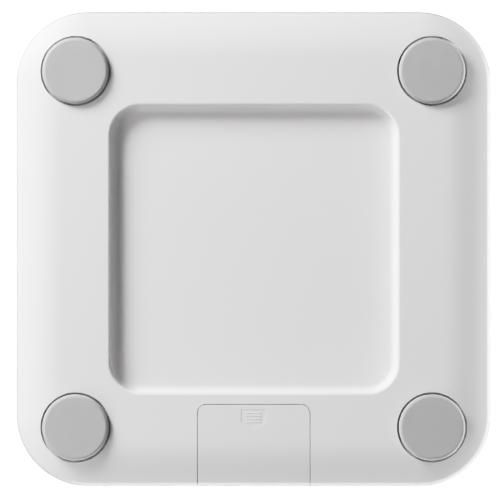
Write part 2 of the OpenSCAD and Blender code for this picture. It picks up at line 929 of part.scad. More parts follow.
module cable_plugs() {
  color([0.95, 0.94, 0.9]) {
    for (i = CELLS)
      translate([CORNERS[i].x * (board_w / 2 + plug_l / 2), socket_y(i), 0])
        block([-plug_l / 2, -3.7, z_plug - 1.9], [plug_l / 2, 3.7, z_plug + 1.9]);
    block([-2.6, lead_socket_y - plug_l, z_plug - 1.9], [2.6, lead_socket_y, z_plug + 1.9]);
  }
}

module display_module() {
  leg = 2;
  color([0.8, 0.82, 0.8])
    translate([0, display_y, 0]) {
      slab(display_w, display_d, 1, z_display, z_display + display_t);
      for (s = CORNERS)
        translate([s.x * (display_w / 2 - leg), s.y * (display_d / 2 - leg), 0])
          block([-leg / 2, -leg / 2, z_board_top], [leg / 2, leg / 2, z_display]);
    }
}

module display_gasket() {
  color([0.85, 0.85, 0.84])
    translate([0, display_y, 0])
      difference() {
        slab(display_w, display_d, 1, z_backing - gasket_t, z_backing);
        slab(window_w + 2, window_d + 2, 1, z_backing - gasket_t - CUT, z_backing + CUT);
      }
}

// One bar of a seven-segment digit: 0 lies flat, 1 stands upright
module bar(x, y, upright) {
  l = digit_h / 2 - 0.7;
  w = 1.3;
  half = upright ? [w / 2, l / 2] : [l / 2, w / 2];
  z0 = z_backing - gasket_t;
  block([x - half.x, y - half.y, z0], [x + half.x, y + half.y, z0 + 0.1]);
}

// A nought: six bars, without the middle one
module nought(x) {
  h = digit_h / 2;
  bar(x, display_y + h - 0.65, false);
  bar(x, display_y - h + 0.65, false);
  for (s = SIDES, t = SIDES)
    bar(x + s * h / 2, display_y + t * (h / 2 - 0.3), true);
}

module display_digits() {
  pitch = digit_h * 0.8;
  z0 = z_backing - gasket_t;
  color([0.1, 0.1, 0.12]) {
    nought(pitch * 0.5 + 2);
    nought(-pitch * 0.5);
    translate([pitch * 0.5 - pitch / 2 + 1, display_y - digit_h / 2 + 0.7, 0])
      post(0.7, z0, z0 + 0.1);
  }
}

// ---- Cables ----

// Line of the long cables along each side, and the narrow way between a collar and the recess wall
cable_x = recess_w / 2 + 13.75;
z_cable = z_floor + cable_t / 2 + 0.1;
z_exit = z_cell_top + 1.4;
pass_shift = (recess_corner_r + block_out - collar_r) / 2 * sqrt(0.5);
pass_x = (foot_x + recess_w / 2 - recess_corner_r) / 2 + pass_shift;
pass_y = (foot_y + recess_d / 2 - recess_corner_r) / 2 + pass_shift;

// Route of the far cells' cables: straight across to the board with a little slack
function far_route(s) = [
  [s * (foot_x - gauge_x - gauge_l), foot_y, z_exit],
  [s * (foot_x - 20), foot_y, z_exit],
  [s * (foot_x - collar_r - 2), foot_y, z_exit],
  [s * (foot_x - collar_r - 7), foot_y + 1, z_cable + 1.5],
  [s * (board_w / 2 + plug_l + 14), socket_y(0) + 2, z_cable + 1.5],
  [s * (board_w / 2 + plug_l + 8), socket_y(0), z_plug],
  [s * (board_w / 2 + plug_l + 3), socket_y(0), z_plug],
  [s * (board_w / 2 + plug_l), socket_y(0), z_plug]
];

// Route of the near cells' cables: out over the collar, along the side, past the far collar, to the board
function near_route(s) = [
  [s * foot_x, -foot_y + gauge_x + gauge_l, z_exit],
  [s * foot_x, -foot_y + 20, z_exit],
  [s * foot_x, -foot_y + collar_r + 2, z_exit],
  [s * foot_x, -foot_y + collar_r + 8, z_cable],
  [s * cable_x, -foot_y + collar_r + 20, z_cable],
  [s * cable_x, -rib_pitch, z_cable],
  [s * cable_x, rib_pitch, z_cable],
  [s * cable_x, foot_y - collar_r - 16, z_cable],
  [s * (pass_x + 5), pass_y - 5, z_cable],
  [s * (pass_x - 6), pass_y + 6, z_cable],
  [s * (board_w / 2 + plug_l + 12), socket_y(3) - 3, z_cable + 1],
  [s * (board_w / 2 + plug_l + 8), socket_y(3), z_plug],
  [s * (board_w / 2 + plug_l + 3), socket_y(3), z_plug],
  [s * (board_w / 2 + plug_l), socket_y(3), z_plug]
];

module cell_cable(i) {
  route = CORNERS[i].y > 0 ? far_route(CORNERS[i].x) : near_route(CORNERS[i].x);
  color([0.85, 0.3, 0.25])
    sweep(smooth(route), ribbon_section(cable_w, cable_t));
}

// The leads run side by side from here, before their first clip and the first rib that they pass
lead_join_y = -max([for (y = rib_places(recess_d)) y, rib_pitch]) - 7;

// A battery lead from its solder tab at side s, across the back of the recess to the board
function lead_route(s, k) = [
  [s * tab_x, battery_y(k), z_lead],
  [s * (tab_x + 1), battery_y(k), z_lead],
  [s * lead_x, battery_y(k) + 2, z_lead],
  [s * lead_x, bay_y, z_climb],
  [s * (lead_x - 1), -block_y + 1, z_climb],
  [s * lead_x / 5, (lead_join_y - 2 * block_y) / 3, z_cross],
  [s * lead_pair, lead_join_y, z_cross],
  [s * lead_pair, 0, z_cross],
  [s * lead_pair, lead_socket_y - plug_l - 12, z_cross],
  [s * lead_pair, lead_socket_y - plug_l - 3, max(z_plug, z_cross)],
  [s * lead_pair, lead_socket_y - plug_l, max(z_plug, z_cross)]
];

module battery_lead_red() {
  color([0.8, 0.1, 0.1])
    sweep(smooth(lead_route(1, 2)), round_section(lead_r, 8));
}

module battery_lead_black() {
  color([0.1, 0.1, 0.1])
    sweep(smooth(lead_route(-1, 0)), round_section(lead_r, 8));
}

// Bridges that hold the cables down to the floor and the leads to the back of the recess
module cable_clips() {
  w = cable_w / 2 + 0.3;
  h = z_cable + cable_t / 2 + 0.2;
  color(NATURAL_NYLON) {
    for (s = SIDES, t = SIDES)
      translate([s * cable_x, t * foot_y / 3, 0])
        difference() {
          block([-w - 1.5, -2.5, z_floor], [w + 1.5, 2.5, h + 1.2]);
          block([-w, -3.5, z_floor - CUT], [w, 3.5, h]);
        }
    for (t = SIDES)
      translate([0, t * rib_pitch, 0])
        difference() {
          block([-4.5, -2.5, z_plateau], [4.5, 2.5, z_cross + lead_r + 1.2]);
          block([-2.6, -3.5, z_plateau - CUT], [2.6, 3.5, z_cross + lead_r + 0.2]);
        }
  }
}

bottom_housing();
glass_platform();
glass_backing();
rim_tape();
bracket_pads();
rib_pads();
battery_door();
door_pad();
contact_plates();
contact_springs();
for (k = BATTERIES) battery(k);
main_board();
board_chips();
board_sockets();
cable_plugs();
board_screws();
display_module();
display_digits();
display_gasket();
battery_lead_red();
battery_lead_black();
cable_clips();
strain_gauges();
bracket_screws();
for (i = CELLS) foot_pad(i);
for (i = CELLS) foot_cup(i);
for (i = CELLS) load_cell(i);
for (i = CELLS) cell_bracket(i);
for (i = CELLS) cell_cable(i);
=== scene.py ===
"""Looks of a square digital bathroom scale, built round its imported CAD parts.

The scale stands on its feet on the floor plane z = 0, with its battery door at the -Y edge. All sizes are
in metres unless a name ends in _mm.
"""

import logging
import math
from dataclasses import dataclass, field
from enum import Enum

import bmesh
import bpy
import numpy as np
from mathutils import Matrix, Vector


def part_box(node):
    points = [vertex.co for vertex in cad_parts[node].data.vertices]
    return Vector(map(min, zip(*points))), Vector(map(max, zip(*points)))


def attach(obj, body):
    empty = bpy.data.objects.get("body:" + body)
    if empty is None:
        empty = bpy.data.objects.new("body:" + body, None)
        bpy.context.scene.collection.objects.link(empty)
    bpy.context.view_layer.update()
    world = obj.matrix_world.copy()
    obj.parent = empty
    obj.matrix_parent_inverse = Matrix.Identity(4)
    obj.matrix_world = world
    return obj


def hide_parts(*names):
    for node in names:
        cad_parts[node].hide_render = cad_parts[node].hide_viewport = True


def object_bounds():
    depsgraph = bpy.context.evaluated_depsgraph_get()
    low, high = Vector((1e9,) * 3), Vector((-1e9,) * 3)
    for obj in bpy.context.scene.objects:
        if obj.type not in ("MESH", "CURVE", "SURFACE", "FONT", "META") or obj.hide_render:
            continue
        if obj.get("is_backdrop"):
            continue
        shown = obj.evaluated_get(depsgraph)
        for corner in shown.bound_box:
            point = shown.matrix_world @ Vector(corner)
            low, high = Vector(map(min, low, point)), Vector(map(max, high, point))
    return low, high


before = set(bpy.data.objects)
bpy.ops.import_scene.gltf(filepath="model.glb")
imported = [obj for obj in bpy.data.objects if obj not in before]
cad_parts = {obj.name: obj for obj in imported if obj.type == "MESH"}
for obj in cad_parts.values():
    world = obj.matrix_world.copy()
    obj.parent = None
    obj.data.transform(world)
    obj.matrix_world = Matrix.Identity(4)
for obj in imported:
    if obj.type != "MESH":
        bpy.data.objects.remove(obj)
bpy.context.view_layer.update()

MM = 0.001
LOG = logging.getLogger("bathroom_scale")
Tree, Socket, Object = bpy.types.NodeTree, bpy.types.NodeSocket, bpy.types.Object


# ---------------- colours and nodes

def linear(hex_colour: str) -> tuple[float, float, float, float]:
    """Turns an sRGB hex colour into linear light.

    Args:
        hex_colour: Six hex digits, with or without a leading hash.

    Returns:
        Red, green, blue and an alpha of 1.
    """
    digits = hex_colour.lstrip("#")
    coded = np.array([int(digits[k:k + 2], 16) for k in (0, 2, 4)]) / 255.0
    light = np.where(coded <= 0.04045, coded / 12.92, ((coded + 0.055) / 1.055) ** 2.4)
    return (float(light[0]), float(light[1]), float(light[2]), 1.0)


def scaled(hex_colour: str, *factors: float) -> tuple[float, float, float, float]:
    """Makes a lighter or darker shade of a colour, no channel past 1.

    Args:
        hex_colour: The sRGB hex colour.
        *factors: One factor for all three channels, or one for each.

    Returns:
        Linear red, green, blue and an alpha of 1.
    """
    shade = np.minimum(np.array(linear(hex_colour)[:3]) * np.array(factors), 1.0)
    return (float(shade[0]), float(shade[1]), float(shade[2]), 1.0)


def add(tree: Tree, kind: str, inputs: dict | None = None, **settings) -> bpy.types.Node:
    """Adds one node with its settings, values and links.

    Args:
        tree: The node tree that gets the node.
        kind: Blender's name for the node type.
        inputs: Socket name or number, with the value or the output socket that feeds it.
        **settings: Attributes of the node.

    Returns:
        The new node.
    """
    node = tree.nodes.new(kind)
    for key, value in settings.items():
        setattr(node, key, value)
    for key, value in (inputs or {}).items():
        if isinstance(value, Socket):
            tree.links.new(value, node.inputs[key])
        else:
            node.inputs[key].default_value = value
    return node


# Numbers of the colour sockets on a Mix node
MIX_A, MIX_B, MIX_OUT = 6, 7, 2
# Nearly all of a noise texture's values lie between these two
NOISE_LOW, NOISE_HIGH = 0.3, 0.7


@dataclass(frozen=True)
class Finish:
    """What every finish has: the real material's name, its colour and its plain shader values."""

    name: str
    colour: str
    roughness: float = 0.5
    ior: float = 1.5

    def material(self) -> bpy.types.Material:
        """Makes the node material, or finds the one made before.

        Returns:
            The material, named for the real one.
        """
        found = bpy.data.materials.get(self.name)
        if found is not None:
            return found
        made = bpy.data.materials.new(self.name)
        made.use_nodes = True
        made.diffuse_color = linear(self.colour)
        tree = made.node_tree
        tree.nodes.clear()
        place = add(tree, "ShaderNodeTexCoord").outputs["Object"]
        plain = {"Base Color": linear(self.colour), "Roughness": self.roughness, "IOR": self.ior}
        shader = add(tree, "ShaderNodeBsdfPrincipled", plain | self.pattern(tree, place))
        add(tree, "ShaderNodeOutputMaterial", {"Surface": shader.outputs[0]} | self.depth(tree))
        return made

    def pattern(self, tree: Tree, place: Socket) -> dict:
        """Adds the pattern nodes of this kind of finish.

        Args:
            tree: The material's node tree.
            place: Object coordinates.

        Returns:
            The Principled node's inputs that the pattern gives, by name.
        """
        raise NotImplementedError

    def depth(self, tree: Tree) -> dict:
        """The output node's inputs for the material's inside, of which an opaque one has none."""
        return {}


def per_metre(size_mm: float) -> float:
    """Scale of a noise texture whose features are about size_mm across."""
    return 1.0 / (size_mm * MM)


@dataclass(frozen=True)
class Moulded(Finish):
    """A moulded plastic, rubber or resin: tool texture in the gloss and relief, and a slow drift of colour.

    grain_mm is the size of the tool's texture and grain_depth_mm its depth. drift_mm is the size of the slow
    colour change, and drift how far it goes, as a share of the colour. polish is how far the gloss varies.
    """

    grain_mm: float = 0.5
    grain_depth_mm: float = 0.004
    drift_mm: float = 70.0
    drift: float = 0.02
    polish: float = 0.06

    def pattern(self, tree: Tree, place: Socket) -> dict:
        """Adds the drift of colour, and the grain in gloss and relief."""
        slow = add(tree, "ShaderNodeTexNoise",
                   {"Vector": place, "Scale": per_metre(self.drift_mm), "Detail": 2.0, "Roughness": 0.5})
        tint = add(tree, "ShaderNodeMix",
                   {0: slow.outputs[0], MIX_A: scaled(self.colour, 1.0 - self.drift),
                    MIX_B: scaled(self.colour, 1.0 + self.drift)}, data_type="RGBA")
        grain = add(tree, "ShaderNodeTexNoise",
                    {"Vector": place, "Scale": per_metre(self.grain_mm), "Detail": 3.0, "Roughness": 0.6})
        gloss = add(tree, "ShaderNodeMapRange",
                    {"Value": grain.outputs[0], "From Min": NOISE_LOW, "From Max": NOISE_HIGH,
                     "To Min": self.roughness - self.polish, "To Max": self.roughness + self.polish})
        relief = add(tree, "ShaderNodeBump",
                     {"Strength": 1.0, "Distance": self.grain_depth_mm * MM, "Height": grain.outputs[0]})
        return {"Base Color": tint.outputs[MIX_OUT], "Roughness": gloss.outputs[0],
                "Normal": relief.outputs[0]}


@dataclass(frozen=True)
class Metal(Finish):
    """A rolled or drawn metal: fine lines along one axis, and a cloudy variation of its plating.

    line_mm is the distance between the lines, and along stretches them along one axis. dull is the shade of
    the darker plating, cloud_mm the size of its clouds, and polish how far the roughness goes down and up.
    """

    line_mm: float = 0.25
    line_depth_mm: float = 0.002
    along: tuple[float, float, float] = (0.04, 1.0, 1.0)
    dull: tuple[float, float, float] = (0.86, 0.86, 0.87)
    cloud_mm: float = 6.0
    polish: tuple[float, float] = (0.08, 0.1)

    def pattern(self, tree: Tree, place: Socket) -> dict:
        """Adds the rolling lines and the clouded plating."""
        drawn = add(tree, "ShaderNodeMapping", {"Vector": place, "Scale": self.along})
        lines = add(tree, "ShaderNodeTexNoise",
                    {"Vector": drawn.outputs[0], "Scale": per_metre(self.line_mm), "Detail": 2.0})
        cloud = add(tree, "ShaderNodeTexNoise",
                    {"Vector": place, "Scale": per_metre(self.cloud_mm), "Detail": 3.0})
        tint = add(tree, "ShaderNodeMix",
                   {0: cloud.outputs[0], MIX_A: scaled(self.colour, *self.dull),
                    MIX_B: linear(self.colour)}, data_type="RGBA")
        gloss = add(tree, "ShaderNodeMapRange",
                    {"Value": lines.outputs[0], "From Min": NOISE_LOW, "From Max": NOISE_HIGH,
                     "To Min": self.roughness - self.polish[0], "To Max": self.roughness + self.polish[1]})
        relief = add(tree, "ShaderNodeBump",
                     {"Strength": 0.6, "Distance": self.line_depth_mm * MM, "Height": lines.outputs[0]})
        return {"Metallic": 1.0, "Base Color": tint.outputs[MIX_OUT], "Roughness": gloss.outputs[0],
                "Normal": relief.outputs[0]}


@dataclass(frozen=True)
class Glazing(Finish):
    """Tempered float glass: clear, with the iron's green in its depth and the slow waves of tempering.

    wave_mm and wave_depth_mm are the size and depth of the waves, and handling the roughness that touch adds.
    """

    depth_tint: str = "#CFE9DF"
    tint_density: float = 70.0
    wave_mm: float = 45.0
    wave_depth_mm: float = 0.02
    handling: float = 0.03

    def pattern(self, tree: Tree, place: Socket) -> dict:
        """Adds the transmission and the tempering waves."""
        waves = add(tree, "ShaderNodeTexNoise",
                    {"Vector": place, "Scale": per_metre(self.wave_mm), "Detail": 1.0})
        relief = add(tree, "ShaderNodeBump",
                     {"Strength": 0.5, "Distance": self.wave_depth_mm * MM, "Height": waves.outputs[0]})
        handled = add(tree, "ShaderNodeMapRange",
                      {"Value": waves.outputs[0], "To Min": self.roughness,
                       "To Max": self.roughness + self.handling})
        return {"Transmission Weight": 1.0, "Roughness": handled.outputs[0], "Normal": relief.outputs[0]}

    def depth(self, tree: Tree) -> dict:
        """Adds the green that grows with the glass's depth."""
        green = add(tree, "ShaderNodeVolumeAbsorption",
                    {"Color": linear(self.depth_tint), "Density": self.tint_density})
        return {"Volume": green.outputs[0]}


@dataclass(frozen=True)
class Foam(Finish):
    """Closed-cell foam: a skin of small round cells, each with painted shade darkening it towards its rim,
    where the cells meet in grooves.

    cell_mm and cell_depth_mm are the size and depth of a cell, and rim how dark the painted shade at the rims
    is.
    """

    cell_mm: float = 0.6
    cell_depth_mm: float = 0.1
    rim: float = 0.6

    def pattern(self, tree: Tree, place: Socket) -> dict:
        """Adds the cells to the relief, and painted shade at their rims to the colour."""
        cells = add(tree, "ShaderNodeTexVoronoi", {"Vector": place, "Scale": per_metre(self.cell_mm)})
        # Painted shade: the colour darkens towards each cell's rim, where the relief dips into a groove
        tint = add(tree, "ShaderNodeMix",
                   {0: cells.outputs["Distance"], MIX_A: linear(self.colour),
                    MIX_B: scaled(self.colour, self.rim)}, data_type="RGBA")
        relief = add(tree, "ShaderNodeBump",
                     {"Strength": 0.8, "Distance": self.cell_depth_mm * MM,
                      "Height": cells.outputs["Distance"]}, invert=True)
        return {"Base Color": tint.outputs[MIX_OUT], "Normal": relief.outputs[0]}


@dataclass(frozen=True)
class Laminate(Finish):
    """A circuit board under its solder mask: copper tracks show as paler, raised lines.

    pitch_mm, width_mm, run_mm and height_mm are the tracks' distance, width, length and height. weave_mm is
    the distance between the threads of the glass cloth, weave their colour, and show how far they show.
    """

    track: str = "#2F8A4E"
    pitch_mm: float = 2.2
    width_mm: float = 0.22
    run_mm: float = 12.1
    height_mm: float = 0.035
    weave: str = "#0C3D22"
    weave_mm: float = 0.5
    show: float = 0.35

    def pattern(self, tree: Tree, place: Socket) -> dict:
        """Adds the tracks and the faint weave of the glass cloth."""
        tracks = add(tree, "ShaderNodeTexBrick",
                     {"Vector": place, "Scale": 1.0, "Mortar Size": self.width_mm * MM,
                      "Mortar Smooth": 0.2, "Brick Width": self.run_mm * MM,
                      "Row Height": self.pitch_mm * MM, "Color1": linear(self.colour),
                      "Color2": linear(self.colour), "Mortar": linear(self.track)})
        cloth = add(tree, "ShaderNodeTexVoronoi",
                    {"Vector": place, "Scale": per_metre(self.weave_mm)}, distance="CHEBYCHEV")
        woven = add(tree, "ShaderNodeMix",
                    {0: cloth.outputs["Distance"], MIX_A: tracks.outputs["Color"],
                     MIX_B: linear(self.weave)}, data_type="RGBA")
        faint = add(tree, "ShaderNodeMix",
                    {0: self.show, MIX_A: tracks.outputs["Color"], MIX_B: woven.outputs[MIX_OUT]},
                    data_type="RGBA")
        relief = add(tree, "ShaderNodeBump",
                     {"Strength": 0.7, "Distance": self.height_mm * MM, "Height": tracks.outputs["Fac"]})
        return {"Coat Weight": 0.6, "Coat Roughness": 0.12, "Base Color": faint.outputs[MIX_OUT],
                "Normal": relief.outputs[0]}


@dataclass(frozen=True)
class Polariser(Finish):
    """A reflective liquid crystal cell under its polariser: grey-green, with faint brushed diffuser lines.

    line_mm is the distance between the lines, along stretches them along X, and dark and light are shades.
    """

    line_mm: float = 0.35
    along: tuple[float, float, float] = (0.03, 1.0, 1.0)
    dark: tuple[float, float, float] = (0.9, 0.91, 0.9)
    light: tuple[float, float, float] = (1.08, 1.08, 1.07)

    def pattern(self, tree: Tree, place: Socket) -> dict:
        """Adds the diffuser's fine lines under the polariser's gloss."""
        drawn = add(tree, "ShaderNodeMapping", {"Vector": place, "Scale": self.along})
        lines = add(tree, "ShaderNodeTexNoise",
                    {"Vector": drawn.outputs[0], "Scale": per_metre(self.line_mm), "Detail": 2.0})
        tint = add(tree, "ShaderNodeMix",
                   {0: lines.outputs[0], MIX_A: scaled(self.colour, *self.dark),
                    MIX_B: scaled(self.colour, *self.light)}, data_type="RGBA")
        return {"Coat Weight": 0.8, "Coat Roughness": 0.05, "Base Color": tint.outputs[MIX_OUT]}


@dataclass(frozen=True)
class ShrinkFilm(Finish):
    """A cell's printed film: a dark body with a coloured band at its positive end.

    The piece's own attribute "along" runs from 0 at the flat end to 1 at the nub, and the band starts at
    band_from. flake_mm is the size of the ink's flakes, flake their colour, and show how far they show.
    """

    band: str = "#B8793A"
    band_from: float = 0.7
    flake: str = "#141416"
    flake_mm: float = 0.3
    show: float = 0.3

    def pattern(self, tree: Tree, place: Socket) -> dict:
        """Adds the two colours of the film and the print's fine flake."""
        along = add(tree, "ShaderNodeAttribute", attribute_name="along")
        banded = add(tree, "ShaderNodeMath", {0: along.outputs["Fac"], 1: self.band_from},
                     operation="GREATER_THAN")
        film = add(tree, "ShaderNodeMix",
                   {0: banded.outputs[0], MIX_A: linear(self.colour), MIX_B: linear(self.band)},
                   data_type="RGBA")
        flakes = add(tree, "ShaderNodeTexVoronoi", {"Vector": place, "Scale": per_metre(self.flake_mm)})
        flaked = add(tree, "ShaderNodeMix",
                     {0: flakes.outputs["Distance"], MIX_A: film.outputs[MIX_OUT],
                      MIX_B: linear(self.flake)}, data_type="RGBA")
        soft = add(tree, "ShaderNodeMix",
                   {0: self.show, MIX_A: film.outputs[MIX_OUT], MIX_B: flaked.outputs[MIX_OUT]},
                   data_type="RGBA")
        return {"Coat Weight": 0.5, "Coat Roughness": 0.15, "Metallic": 0.35,
                "Base Color": soft.outputs[MIX_OUT]}


# ---------------- finishes, each named for its real material

# Injection-moulded ABS from a finely spark-eroded tool: a soft satin white with hardly any highlight.
# The true grain is 0.1 mm, too fine to show, so it is drawn at 0.45 mm.
HOUSING_ABS = Moulded("moulded_white_abs", "#EDEBEC", 0.48, 1.53, grain_mm=0.45, grain_depth_mm=0.005,
                      drift_mm=80.0, drift=0.012)
# The door comes from a second tool, so it is a shade greyer than the housing.
DOOR_ABS = Moulded("moulded_white_abs_door", "#EBE9EA", 0.45, 1.53, grain_mm=0.45, grain_depth_mm=0.005,
                   drift_mm=60.0, drift=0.012)
# Thermoplastic rubber moulded in a blasted tool: dead matt mid grey, slightly uneven.
FOOT_TPR = Moulded("moulded_grey_thermoplastic_rubber", "#B6B6B6", 0.82, 1.5, grain_mm=0.6,
                   grain_depth_mm=0.012, drift_mm=18.0, drift=0.03)
# Moulded ABS: a darker grey than the foot on it, harder and a little shinier.
CUP_ABS = Moulded("moulded_grey_abs", "#8F9092", 0.5, 1.53, grain_mm=0.5, grain_depth_mm=0.006)
# Unfilled nylon: translucent-looking ivory with a waxy gloss.
NYLON = Moulded("moulded_natural_nylon", "#E3DFD0", 0.38, 1.53, grain_mm=0.8, drift=0.03)
# Transfer-moulded epoxy: near black, with the grit of its silica filler.
EPOXY = Moulded("moulded_black_epoxy", "#202124", 0.6, 1.55, grain_mm=0.3, grain_depth_mm=0.006, drift=0.1)
# Room-curing silicone brushed on by hand: milky, wet-looking and lumpy.
SILICONE = Moulded("brushed_milky_silicone", "#E8E8E4", 0.25, 1.41, grain_mm=2.5, grain_depth_mm=0.12,
                   drift_mm=6.0, drift=0.05)
# Extruded soft PVC: smooth and slightly greasy, in pale grey for the cables and red and black for the leads.
CABLE_PVC, LEAD_RED, LEAD_BLACK = (
    Moulded(f"extruded_{name}_pvc", colour, roughness, 1.54, grain_mm=1.2, grain_depth_mm=0.006, drift=drift)
    for name, colour, roughness, drift in (("grey", "#D6D6D2", 0.42, 0.04), ("red", "#BE1B18", 0.38, 0.06),
                                           ("black", "#17181A", 0.38, 0.1)))
# Ceramic enamel screen-printed and fired on to the glass: dense even white with slight orange peel.
ENAMEL = Moulded("screen_printed_white_enamel", "#F2F3F2", 0.3, 1.5, grain_mm=1.4, grain_depth_mm=0.006,
                 drift_mm=120.0, drift=0.008)
# Ink-black liquid crystal segments: flat black with a trace of purple.
SEGMENT = Moulded("liquid_crystal_segment", "#15151C", 0.3, 1.5, grain_mm=0.4, grain_depth_mm=0.001,
                  drift=0.15)
# Nickel-plated spring steel: bright and slightly yellow, with drawing lines.
NICKEL = Metal("nickel_plated_spring_steel", "#CFCAC0", 0.22)
# Stamped spring steel with thin nickel: greyer and flatter, with rolling lines along Y.
CELL_STEEL = Metal("stamped_nickel_plated_steel", "#BFC1C4", 0.32, along=(1.0, 0.04, 1.0))
# Zinc-plated screws: bluish grey and a little cloudy.
ZINC = Metal("zinc_plated_screw_steel", "#C3C9D0", 0.3, line_mm=0.15)
# Tin-plated can ends: bright and neutral, with turning marks.
CAN = Metal("tin_plated_can", "#C9CACC", 0.25, line_mm=0.2)
# Tempered float glass: colourless face on, sea green through its edge.
FLOAT_GLASS = Glazing("tempered_float_glass", "#FFFFFF", 0.0, 1.52)
# White polyethylene foam with acrylic adhesive: chalky, with painted shade darkening the rims of its cells.
# The cells are
# 0.2 mm across, too fine to show, so they are drawn at 0.6 mm.
TAPE_FOAM = Foam("closed_cell_foam_tape", "#DEDEDC", 0.9, 1.5)
# Woven-glass epoxy laminate under green solder mask: glossy, with paler tracks.
FR4 = Laminate("glass_epoxy_laminate", "#17633A", 0.35, 1.55)
# Liquid crystal cell: grey green and mirror-smooth.
LCD = Polariser("liquid_crystal_cell", "#AEB8AC", 0.35, 1.5)
# Shrink film printed with metallic ink: dark and glossy, with a copper band at the positive end.
CELL_FILM = ShrinkFilm("printed_shrink_film", "#26292B", 0.35, 1.5)


# ---------------- surfaces worked out with numpy

@dataclass
class Surface:
    """A mesh as whole arrays: its points in metres, and its faces as lists of point numbers."""

    points: np.ndarray
    faces: list[list[int]]

    def volume(self) -> float:
        """Signed volume: a sixth of the sum of a . (b x c) over the triangles a, b, c of every face's fan.

        Returns:
            The volume, above 0 where the faces point outwards.
        """
        fans = np.array([[face[0], face[k], face[k + 1]]
                         for face in self.faces for k in range(1, len(face) - 1)])
        a, b, c = (self.points[fans[:, k]] for k in range(3))
        return float(np.einsum("ij,ij->i", a, np.cross(b, c)).sum() / 6.0)

    def outward(self) -> "Surface":
        """Turns the faces outwards.

        Returns:
            The same surface.
        """
        if self.volume() < 0.0:
            self.faces = [face[::-1] for face in self.faces]
        return self

    def joined(self, other: "Surface") -> "Surface":
        """This surface and another as one."""
        shift = len(self.points)
        return Surface(np.vstack([self.points, other.points]),
                       self.faces + [[index + shift for index in face] for face in other.faces])

    def piece(self, name: str, finishes: list[Finish], sharp_deg: float = 30.0) -> Object:
        """Makes the Blender object.

        Args:
            name: The piece's name.
            finishes: The finishes of its material slots. Every face starts with the first.
            sharp_deg: Edges bent more than this stay crisp.

        Returns:
            The object, at the origin, with its place in its mesh.
        """
        mesh = bpy.data.meshes.new(name)
        mesh.from_pydata(self.points.tolist(), [], self.faces)
        mesh.validate()
        for finish in finishes:
            mesh.materials.append(finish.material())
        mesh.shade_smooth()
        mesh.set_sharp_from_angle(angle=math.radians(sharp_deg))
        made = bpy.data.objects.new(name, mesh)
        bpy.context.scene.collection.objects.link(made)
        weighted = made.modifiers.new("face_weighted_normals", "WEIGHTED_NORMAL")
        weighted.keep_sharp = True
        return made


def ring_faces(rows: int, columns: int) -> list[list[int]]:
    """Quads between rings of points that are numbered ring by ring.

    Args:
        rows: How many rings there are.
        columns: How many points each has.

    Returns:
        The point numbers of each quad.
    """
    row, column = np.meshgrid(np.arange(rows - 1), np.arange(columns), indexing="ij")
    after = (column + 1) % columns
    quads = np.stack([row * columns + column, row * columns + after,
                      (row + 1) * columns + after, (row + 1) * columns + column], axis=-1)
    return quads.reshape(-1, 4).tolist()


def surface_of(skin: bmesh.types.BMesh, name: str) -> Surface:
    """Takes the points and faces of an edited mesh as arrays, and frees it.

    Args:
        skin: The edited mesh.
        name: A name for the short-lived mesh that it is written to.

    Returns:
        The same surface.
    """
    mesh = bpy.data.meshes.new(name)
    skin.to_mesh(mesh)
    skin.free()
    points = np.zeros(len(mesh.vertices) * 3, dtype=np.float32)
    corners, starts = (np.zeros(len(part), dtype=np.int32) for part in (mesh.loops, mesh.polygons))
    mesh.vertices.foreach_get("co", points)
    mesh.loops.foreach_get("vertex_index", corners)
    mesh.polygons.foreach_get("loop_start", starts)
    bpy.data.meshes.remove(mesh)
    return Surface(points.reshape(-1, 3).astype(float),
                   [face.tolist() for face in np.split(corners, starts[1:])])


def arc(centre: tuple[float, float], radius: float, start_deg: float, end_deg: float,
        steps: int) -> np.ndarray:
    """Points of an arc: the centre plus the radius times the cosine and sine of evenly spaced angles.

    Args:
        centre: The arc's centre.
        radius: Its radius.
        start_deg: The angle that it starts at.
        end_deg: The angle that it ends at.
        steps: How many equal steps it has.

    Returns:
        One row for each point.
    """
    turn = np.radians(np.linspace(start_deg, end_deg, steps + 1))
    return np.column_stack([centre[0] + radius * np.cos(turn), centre[1] + radius * np.sin(turn)])


def revolved(profile: np.ndarray, centre: np.ndarray, axis: np.ndarray, steps: int) -> Surface:
    """A profile turned about an axis.

    Each point is the centre, plus its height along the axis, plus its radius in a direction that goes once
    round the axis. The first and last profile points lie on the axis and become single poles.

    Args:
        profile: Rows of radius and height, from pole to pole.
        centre: A point on the axis.
        axis: Its unit direction.
        steps: How many times the profile is repeated round the axis.

    Returns:
        The closed surface.
    """
    side = np.cross(axis, [0.0, 0.0, 1.0] if abs(axis[2]) < 0.9 else [1.0, 0.0, 0.0])
    side /= np.linalg.norm(side)
    other = np.cross(axis, side)
    turn = np.linspace(0.0, 2.0 * np.pi, steps, endpoint=False)
    spokes = np.cos(turn)[:, None] * side + np.sin(turn)[:, None] * other
    rings = profile[1:-1]
    points = centre + rings[:, 1, None, None] * axis + rings[:, 0, None, None] * spokes[None]
    flat = points.reshape(-1, 3)
    poles = centre + profile[[0, -1], 1, None] * axis
    faces = ring_faces(len(rings), steps)
    first, last, count = len(flat), len(flat) + 1, (len(rings) - 1) * steps
    here = np.arange(steps)
    after = (here + 1) % steps
    faces += np.column_stack([np.full(steps, first), after, here]).tolist()
    faces += np.column_stack([np.full(steps, last), count + here, count + after]).tolist()
    return Surface(np.vstack([flat, poles]), faces).outward()


